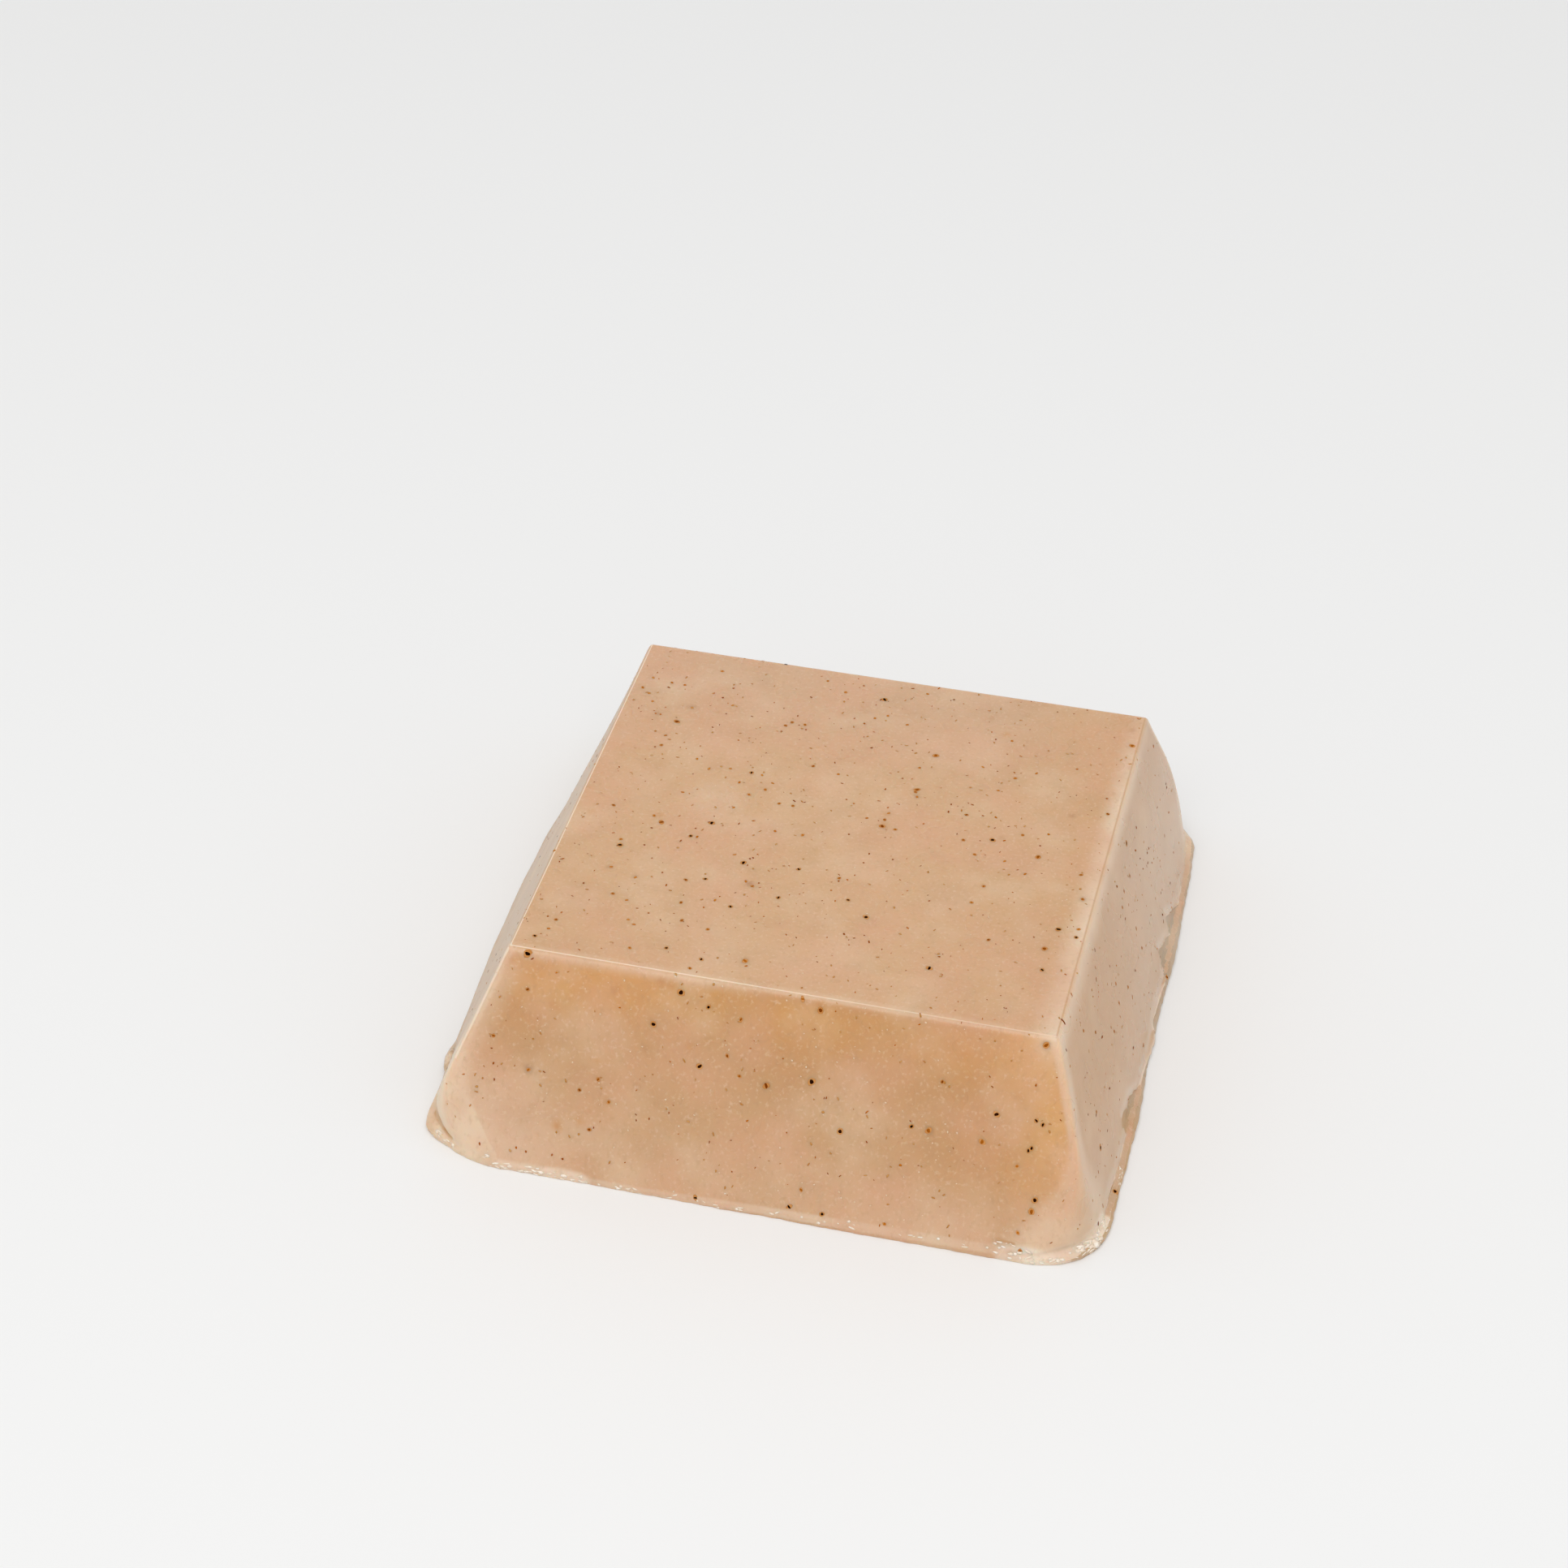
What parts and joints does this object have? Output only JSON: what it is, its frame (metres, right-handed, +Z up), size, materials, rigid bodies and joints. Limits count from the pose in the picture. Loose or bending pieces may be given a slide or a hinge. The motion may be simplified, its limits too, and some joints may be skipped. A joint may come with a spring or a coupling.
{
  "type": "sesame tofu",
  "caption": "Block of sesame tofu, served chilled as a side dish: small square top, sloping sides, wider foot with rounded corners and a thin uneven lip.",
  "frame": {"origin": "middle of the foot's bounding box, in the plane that the block rests on", "axes": "+Z up, through the small top face; -Y towards the front; +X along the front edge, to the right as seen from the front; +Y is the longest side"},
  "size_m": [0.0804, 0.0872, 0.0223],
  "materials": {
    "tofu": "moist, softly glossy, warm beige, slightly translucent, with fine dark and brown sesame specks"
  },
  "bodies": {
    "root": {"sesame_tofu": "tofu"}
  },
  "joints": []
}
